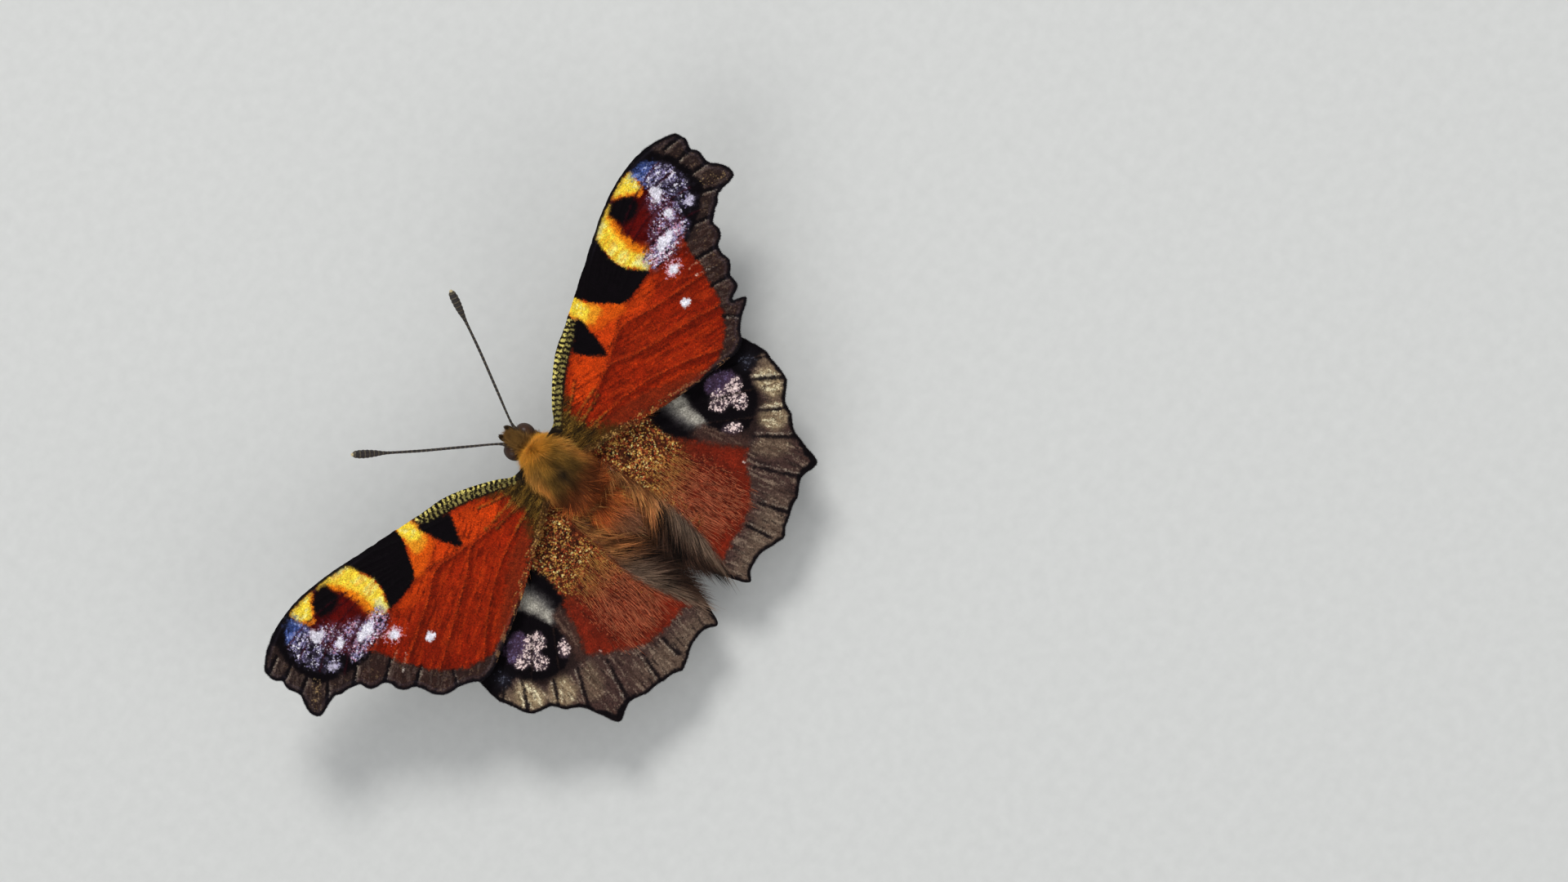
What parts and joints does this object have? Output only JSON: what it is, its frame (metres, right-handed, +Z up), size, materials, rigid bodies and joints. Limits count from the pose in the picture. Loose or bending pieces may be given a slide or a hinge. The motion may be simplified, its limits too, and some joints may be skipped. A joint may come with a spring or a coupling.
{
  "type": "peacock butterfly",
  "caption": "Life-size still model of a peacock butterfly with its wings spread flat, standing on its walking legs.",
  "frame": {"origin": "on the floor under the middle of the whole animal", "axes": "+X towards the animal's left, across the spread wings; +Y towards its tail; +Z up from the floor"},
  "size_m": [0.0604, 0.0353, 0.0156],
  "materials": {
    "forewing": "matt scales",
    "hindwing": "matt scales and hair",
    "fur": "soft hair",
    "chitin": "satin cuticle",
    "leg": "satin cuticle with short hair",
    "eye": "glossy facets"
  },
  "bodies": {
    "root": {"thorax": "fur", "abdomen": "fur", "head": "fur", "palp_left": "fur", "palp_right": "fur", "eye_left": "eye", "eye_right": "eye", "antenna_left": "chitin", "antenna_right": "chitin", "proboscis": "chitin", "leg_fore_left": "leg", "leg_fore_right": "leg", "leg_mid_left": "leg", "leg_mid_right": "leg", "leg_hind_left": "leg", "leg_hind_right": "leg", "forewing_left": "forewing", "forewing_right": "forewing", "hindwing_left": "hindwing", "hindwing_right": "hindwing"}
  },
  "joints": []
}
